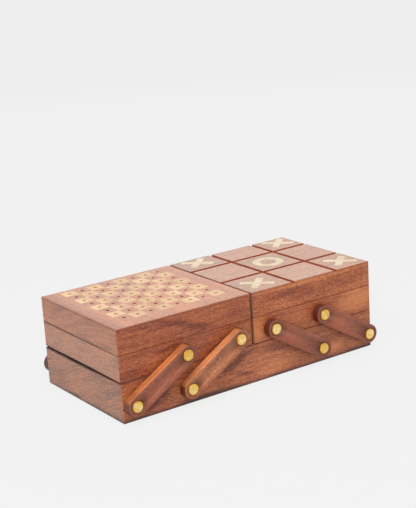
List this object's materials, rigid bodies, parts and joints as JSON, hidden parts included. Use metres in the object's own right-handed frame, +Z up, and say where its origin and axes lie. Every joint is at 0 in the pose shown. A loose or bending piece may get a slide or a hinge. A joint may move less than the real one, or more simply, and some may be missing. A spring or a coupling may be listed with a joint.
{
  "type": "folding wooden games box",
  "caption": "Wooden games box whose two lidded trays swing up and outwards on parallel brass-pinned links, with a peg chess board and a noughts and crosses board inlaid in the lids.",
  "frame": {"origin": "middle of the underside of the closed box", "axes": "+X along the box from the chess lid's end to the noughts and crosses lid's end, +Y from the front to the hinged rear, +Z up"},
  "size_m": [0.25, 0.136, 0.0755],
  "materials": {
    "box_wood": "satin lacquer over open-grained reddish brown hardwood",
    "link_wood": "satin lacquer over darker hardwood",
    "floor_wood": "bare sanded hardwood",
    "tile_wood": "satin lacquer over greyish brown hardwood veneer",
    "pale_wood": "satin lacquer over pale hardwood inlay",
    "cream_inlay": "cream resin inlay rubbed flush",
    "ludo_board_wood": "satin lacquer over pale board",
    "red_stain": "stained wood inlay",
    "green_stain": "stained wood inlay",
    "yellow_stain": "stained wood inlay",
    "blue_stain": "stained wood inlay",
    "counter_paint": "gloss paint on turned wood",
    "die_white": "polished",
    "brass": "rubbed brass"
  },
  "bodies": {
    "lower_box": {"base_front_board": "box_wood", "base_rear_board": "box_wood", "base_left_end_board": "box_wood", "base_right_end_board": "box_wood", "base_floor": "floor_wood", "base_partitions": "box_wood", "ludo_board": "ludo_board_wood", "ludo_red_inlays": "red_stain", "ludo_green_inlays": "green_stain", "ludo_yellow_inlays": "yellow_stain", "ludo_blue_inlays": "blue_stain", "base_pivot_pins": "brass", "base_pivot_washers": "brass"},
    "left_tray": {"left_tray_front_board": "box_wood", "left_tray_rear_board": "box_wood", "left_tray_end_boards": "box_wood", "left_tray_floor": "floor_wood", "left_tray_divider": "box_wood", "left_tray_pivot_pins": "brass", "left_tray_pivot_washers": "brass", "left_tray_hinge_leaves": "brass", "left_hinge_pins": "brass", "left_tray_hinge_screws": "brass", "light_chess_pieces": "pale_wood", "dark_chess_pieces": "link_wood"},
    "right_tray": {"right_tray_front_board": "box_wood", "right_tray_rear_board": "box_wood", "right_tray_end_boards": "box_wood", "right_tray_floor": "floor_wood", "right_tray_pivot_pins": "brass", "right_tray_pivot_washers": "brass", "right_tray_hinge_leaves": "brass", "right_hinge_pins": "brass", "right_tray_hinge_screws": "brass", "ludo_counters": "counter_paint", "die": "die_white"},
    "chess_lid": {"chess_lid_top": "box_wood", "chess_light_squares": "pale_wood", "chess_lid_front_rim": "box_wood", "chess_lid_rear_rim": "box_wood", "chess_lid_end_rims": "box_wood", "chess_lid_hinge_leaves": "brass", "chess_lid_hinge_screws": "brass"},
    "noughts_lid": {"noughts_lid_top": "box_wood", "noughts_marked_tiles": "tile_wood", "noughts_lid_front_rim": "box_wood", "noughts_lid_rear_rim": "box_wood", "noughts_lid_end_rims": "box_wood", "noughts_lid_hinge_leaves": "brass", "noughts_lid_hinge_screws": "brass", "cross_inlays": "cream_inlay", "nought_inlay": "cream_inlay"},
    "front_left_outer_link": {"front_left_outer_link": "link_wood"},
    "front_left_inner_link": {"front_left_inner_link": "link_wood"},
    "rear_left_outer_link": {"rear_left_outer_link": "link_wood"},
    "rear_left_inner_link": {"rear_left_inner_link": "link_wood"},
    "front_right_outer_link": {"front_right_outer_link": "link_wood"},
    "front_right_inner_link": {"front_right_inner_link": "link_wood"},
    "rear_right_outer_link": {"rear_right_outer_link": "link_wood"},
    "rear_right_inner_link": {"rear_right_inner_link": "link_wood"}
  },
  "joints": [
    {"name": "left_tray_swing", "type": "hinge", "parent": "lower_box", "child": "front_left_outer_link", "pos_m": [-0.1162, -0.0642, 0.0148], "axis": [0, -1, 0], "range_deg": [0, 118.58]},
    {"name": "front_left_inner_swing", "type": "hinge", "parent": "lower_box", "child": "front_left_inner_link", "pos_m": [-0.06565, -0.0642, 0.0148], "axis": [0, -1, 0], "range_deg": [0, 118.58]},
    {"name": "rear_left_outer_swing", "type": "hinge", "parent": "lower_box", "child": "rear_left_outer_link", "pos_m": [-0.1162, 0.0642, 0.0148], "axis": [0, -1, 0], "range_deg": [0, 118.58]},
    {"name": "rear_left_inner_swing", "type": "hinge", "parent": "lower_box", "child": "rear_left_inner_link", "pos_m": [-0.06565, 0.0642, 0.0148], "axis": [0, -1, 0], "range_deg": [0, 118.58]},
    {"name": "left_tray_level", "type": "hinge", "parent": "front_left_outer_link", "child": "left_tray", "pos_m": [-0.06805, -0.0642, 0.0434], "axis": [0, -1, 0], "range_deg": [-118.58, 0]},
    {"name": "right_tray_swing", "type": "hinge", "parent": "lower_box", "child": "front_right_outer_link", "pos_m": [0.1162, -0.0642, 0.0148], "axis": [0, 1, 0], "range_deg": [0, 118.58]},
    {"name": "front_right_inner_swing", "type": "hinge", "parent": "lower_box", "child": "front_right_inner_link", "pos_m": [0.06565, -0.0642, 0.0148], "axis": [0, 1, 0], "range_deg": [0, 118.58]},
    {"name": "rear_right_outer_swing", "type": "hinge", "parent": "lower_box", "child": "rear_right_outer_link", "pos_m": [0.1162, 0.0642, 0.0148], "axis": [0, 1, 0], "range_deg": [0, 118.58]},
    {"name": "rear_right_inner_swing", "type": "hinge", "parent": "lower_box", "child": "rear_right_inner_link", "pos_m": [0.06565, 0.0642, 0.0148], "axis": [0, 1, 0], "range_deg": [0, 118.58]},
    {"name": "right_tray_level", "type": "hinge", "parent": "front_right_outer_link", "child": "right_tray", "pos_m": [0.06805, -0.0642, 0.0434], "axis": [0, 1, 0], "range_deg": [-118.58, 0]},
    {"name": "chess_lid_hinge", "type": "hinge", "parent": "left_tray", "child": "chess_lid", "pos_m": [-0.06283, 0.061, 0.0546], "axis": [-1, 0, 0], "range_deg": [0, 105]},
    {"name": "noughts_lid_hinge", "type": "hinge", "parent": "right_tray", "child": "noughts_lid", "pos_m": [0.06283, 0.061, 0.0546], "axis": [-1, 0, 0], "range_deg": [0, 105]}
  ],
  "couplings": [
    {"joint": "front_left_inner_swing", "follows": "left_tray_swing", "ratio": 1},
    {"joint": "rear_left_outer_swing", "follows": "left_tray_swing", "ratio": 1},
    {"joint": "rear_left_inner_swing", "follows": "left_tray_swing", "ratio": 1},
    {"joint": "left_tray_level", "follows": "left_tray_swing", "ratio": -1},
    {"joint": "front_right_inner_swing", "follows": "right_tray_swing", "ratio": 1},
    {"joint": "rear_right_outer_swing", "follows": "right_tray_swing", "ratio": 1},
    {"joint": "rear_right_inner_swing", "follows": "right_tray_swing", "ratio": 1},
    {"joint": "right_tray_level", "follows": "right_tray_swing", "ratio": -1}
  ]
}
